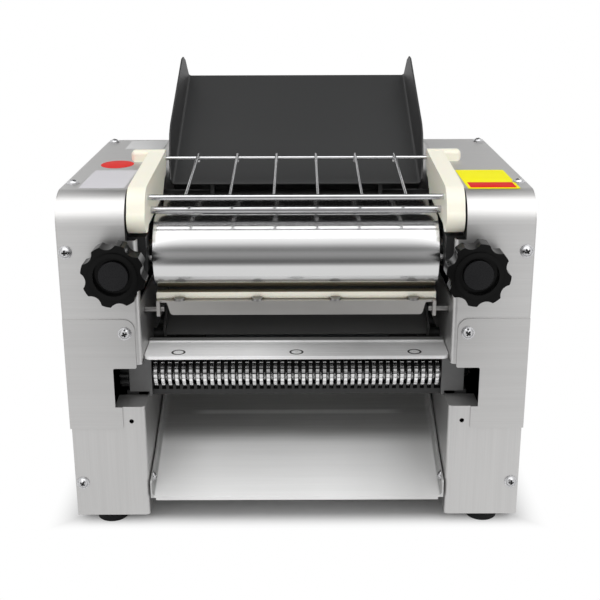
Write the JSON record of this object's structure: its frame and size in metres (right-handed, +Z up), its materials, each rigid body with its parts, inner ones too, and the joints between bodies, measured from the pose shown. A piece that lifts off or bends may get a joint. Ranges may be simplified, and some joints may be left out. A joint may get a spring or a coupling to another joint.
{
  "type": "dough sheeter",
  "caption": "Table-top dough roller and noodle cutter: pressing rollers between two steel towers, feed tray, wire guard, gap knobs, pull-out cutter unit, discharge chute.",
  "frame": {"origin": "middle of the bounding box's footprint, on the plane that the feet stand on", "axes": "+X to the right as seen from the front, +Y to the rear, +Z up"},
  "size_m": [0.3965, 0.3662, 0.3813],
  "materials": {
    "covers": "brushed",
    "screw_steel": "satin",
    "polished_steel": "polished",
    "chute_steel": "brushed",
    "zinc_steel": "satin",
    "cast_frame": "rough",
    "black_steel": "oiled",
    "gear_steel": "machined",
    "cutter_steel": "knurled",
    "black_block": "satin",
    "tray_black": "matte",
    "guide_black": "gloss",
    "knob_black": "gloss",
    "switch_black": "satin",
    "rocker_black": "gloss",
    "nylon_cream": "satin",
    "scraper_cream": "satin",
    "black_rubber": "matte",
    "belt_rubber": "matte",
    "motor_paint": "satin",
    "pulley_iron": "machined"
  },
  "bodies": {
    "housing": {"upper_cover_left": "covers", "upper_cover_right": "covers", "side_cover_left": "covers", "side_cover_right": "covers", "lower_cover_left": "covers", "lower_cover_right": "covers", "rear_cover": "covers", "base_plate": "covers", "feet": "black_rubber", "cover_screws": "screw_steel", "frame_plate_left": "cast_frame", "frame_plate_right": "cast_frame", "tie_rods": "zinc_steel", "rear_bearings": "gear_steel", "frame_pins": "zinc_steel", "tray_support": "covers", "rear_scraper": "scraper_cream", "rear_scraper_bracket": "zinc_steel", "dough_guide": "guide_black", "shaft_housing": "cast_frame", "motor": "motor_paint", "drive_belt": "belt_rubber", "power_switch": "switch_black", "cable_gland": "switch_black", "discharge_chute": "chute_steel"},
    "carriage": {"bearing_blocks": "black_block", "front_bearings": "gear_steel", "front_scraper": "scraper_cream", "scraper_bracket": "zinc_steel", "scraper_screws": "screw_steel"},
    "front_roller": {"front_roller": "polished_steel", "front_roller_gear": "gear_steel"},
    "rear_roller": {"rear_roller": "polished_steel", "rear_roller_gear": "gear_steel", "main_gear": "gear_steel"},
    "knob_left": {"knob_left": "knob_black", "knob_cap_left": "knob_black", "adjusting_screw_left": "zinc_steel"},
    "knob_right": {"knob_right": "knob_black", "knob_cap_right": "knob_black", "adjusting_screw_right": "zinc_steel"},
    "pinion_shaft": {"pinion_shaft": "gear_steel", "belt_pulley": "pulley_iron"},
    "motor_rotor": {"motor_shaft": "zinc_steel", "motor_pulley": "pulley_iron"},
    "idler": {"idler_gear": "gear_steel"},
    "cutter_unit": {"cutter_bar": "polished_steel", "cutter_bar_screws": "screw_steel", "cutter_end_blocks": "black_steel", "cutter_combs": "black_steel"},
    "front_cutter": {"front_cutter": "cutter_steel", "front_cutter_gear": "black_steel"},
    "rear_cutter": {"rear_cutter": "cutter_steel", "rear_cutter_gears": "black_steel"},
    "guard": {"guard_bracket_left": "nylon_cream", "guard_bracket_right": "nylon_cream", "guard_rods": "polished_steel", "guard_wires": "polished_steel"},
    "feed_tray": {"feed_tray": "tray_black"},
    "switch_rocker": {"switch_rocker": "rocker_black"}
  },
  "joints": [
    {"name": "gap_slide", "type": "slide", "parent": "housing", "child": "carriage", "axis": [0, 1, 0], "range_m": [-0.004, 0.0015]},
    {"name": "rear_roller_spin", "type": "hinge", "parent": "housing", "child": "rear_roller", "pos_m": [0, -0.03514, 0.24], "axis": [1, 0, 0], "continuous": true},
    {"name": "front_roller_spin", "type": "hinge", "parent": "carriage", "child": "front_roller", "pos_m": [0, -0.10114, 0.24], "axis": [1, 0, 0], "continuous": true},
    {"name": "knob_left_turn", "type": "hinge", "parent": "carriage", "child": "knob_left", "pos_m": [-0.1455, -0.15314, 0.24], "axis": [0, 1, 0], "range_deg": [-961, 361]},
    {"name": "knob_right_turn", "type": "hinge", "parent": "carriage", "child": "knob_right", "pos_m": [0.1455, -0.15314, 0.24], "axis": [0, 1, 0], "range_deg": [-961, 361]},
    {"name": "pinion_shaft_spin", "type": "hinge", "parent": "housing", "child": "pinion_shaft", "pos_m": [0.15, 0.02484, 0.20904], "axis": [1, 0, 0], "continuous": true},
    {"name": "motor_spin", "type": "hinge", "parent": "housing", "child": "motor_rotor", "pos_m": [0, 0.05186, 0.087], "axis": [1, 0, 0], "continuous": true},
    {"name": "idler_spin", "type": "hinge", "parent": "housing", "child": "idler", "pos_m": [0.15, -0.03361, 0.14501], "axis": [1, 0, 0], "continuous": true},
    {"name": "cutter_unit_slide", "type": "slide", "parent": "housing", "child": "cutter_unit", "axis": [0, -1, 0], "range_m": [0, 0.08]},
    {"name": "front_cutter_spin", "type": "hinge", "parent": "cutter_unit", "child": "front_cutter", "pos_m": [0, -0.11514, 0.1345], "axis": [1, 0, 0], "continuous": true},
    {"name": "rear_cutter_spin", "type": "hinge", "parent": "cutter_unit", "child": "rear_cutter", "pos_m": [0, -0.09014, 0.1345], "axis": [1, 0, 0], "continuous": true},
    {"name": "guard_swing", "type": "hinge", "parent": "housing", "child": "guard", "pos_m": [0, -0.13914, 0.278], "axis": [1, 0, 0], "range_deg": [0, 95]},
    {"name": "feed_tray_lift", "type": "slide", "parent": "housing", "child": "feed_tray", "axis": [0, 0.342, 0.9397], "range_m": [0, 0.014]},
    {"name": "switch_tip", "type": "hinge", "parent": "housing", "child": "switch_rocker", "pos_m": [-0.1925, -0.09814, 0.134], "axis": [0, 1, 0], "range_deg": [-14, 0]}
  ],
  "couplings": [
    {"joint": "knob_left_turn", "follows": "gap_slide", "rad_per_m": 4188.8},
    {"joint": "knob_right_turn", "follows": "gap_slide", "rad_per_m": 4188.8},
    {"joint": "front_roller_spin", "follows": "rear_roller_spin", "ratio": -1},
    {"joint": "pinion_shaft_spin", "follows": "rear_roller_spin", "ratio": -2.8571},
    {"joint": "motor_spin", "follows": "rear_roller_spin", "ratio": -9.7143},
    {"joint": "idler_spin", "follows": "rear_roller_spin", "ratio": -1.1111},
    {"joint": "front_cutter_spin", "follows": "rear_roller_spin", "ratio": -4},
    {"joint": "rear_cutter_spin", "follows": "rear_roller_spin", "ratio": 4}
  ]
}
